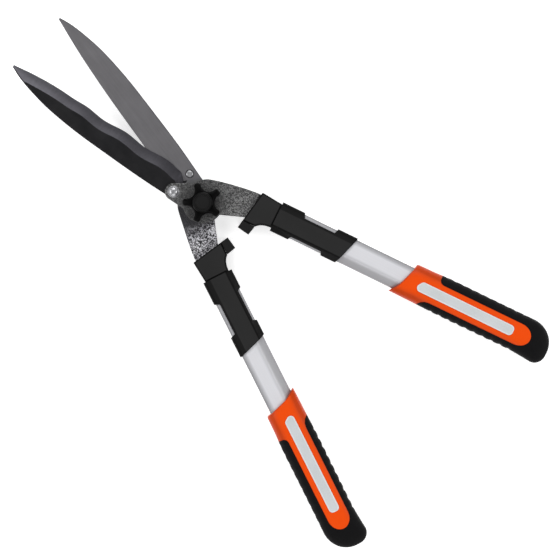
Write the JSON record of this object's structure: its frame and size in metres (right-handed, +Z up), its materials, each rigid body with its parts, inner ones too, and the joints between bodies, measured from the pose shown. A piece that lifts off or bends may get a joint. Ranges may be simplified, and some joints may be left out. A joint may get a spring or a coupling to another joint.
{
  "type": "hedge shears",
  "caption": "Two-handed hedge shears with crossed blades, a star tension knob on the pivot, stop buffers and tubular handles with soft grips.",
  "frame": {"origin": "centre of the pivot bolt head's flat face, on the pivot axis and at floor level", "axes": "+X from the pivot towards the handles, on the line between them; +Z up along the pivot axis towards the knob; +Y towards the right handle"},
  "size_m": [0.5835, 0.3026, 0.0415],
  "materials": {
    "blade_black": "black baked coating, satin, with a ground grey bevel",
    "blade_grey": "ground steel, satin grey",
    "hammer_paint": "hammer-finish grey enamel, glossy and dimpled",
    "zinc": "zinc plated steel",
    "black_plastic": "moulded black plastic, fine grain",
    "black_rubber": "moulded black thermoplastic rubber",
    "aluminium": "extruded, satin anodised",
    "orange_plastic": "moulded orange plastic, satin",
    "silver_plastic": "silver-grey plastic inlay"
  },
  "bodies": {
    "rear_half": {"rear_blade": "blade_grey", "rear_arm": "hammer_paint", "rear_rivet": "zinc", "pivot_bolt": "zinc", "bolt_washer": "zinc", "spring_washer": "zinc", "left_buffer_head": "black_plastic", "left_buffer_pad": "black_rubber", "left_sleeve": "black_plastic", "left_tube": "aluminium", "left_grip_core": "orange_plastic", "left_grip_cover": "black_rubber", "left_inlay_top": "silver_plastic", "left_inlay_bottom": "silver_plastic", "left_screw_inner": "zinc", "left_screw_outer": "zinc"},
    "front_half": {"front_blade": "blade_black", "front_arm": "hammer_paint", "front_rivet": "zinc", "right_buffer_head": "black_plastic", "right_buffer_pad": "black_rubber", "right_sleeve": "black_plastic", "right_tube": "aluminium", "right_grip_core": "orange_plastic", "right_grip_cover": "black_rubber", "right_inlay_top": "silver_plastic", "right_inlay_bottom": "silver_plastic", "right_screw_inner": "zinc", "right_screw_outer": "zinc"},
    "thrust_ring": {"thrust_washer": "zinc"},
    "knob": {"tension_knob": "black_plastic", "knob_nut": "zinc"}
  },
  "joints": [
    {"name": "main_pivot", "type": "hinge", "parent": "rear_half", "child": "front_half", "pos_m": [0, 0, 0.015], "axis": [0, 0, 1], "range_deg": [-19, 50]},
    {"name": "washer_lift", "type": "slide", "parent": "rear_half", "child": "thrust_ring", "axis": [0, 0, 1], "range_m": [0, 0.0009375], "deforming": ["spring_washer"]},
    {"name": "knob_turn", "type": "hinge", "parent": "thrust_ring", "child": "knob", "pos_m": [0, 0, 0.03], "axis": [0, 0, 1], "range_deg": [0, 270]}
  ],
  "couplings": [
    {"joint": "washer_lift", "follows": "knob_turn", "m_per_rad": 0.00019894}
  ]
}
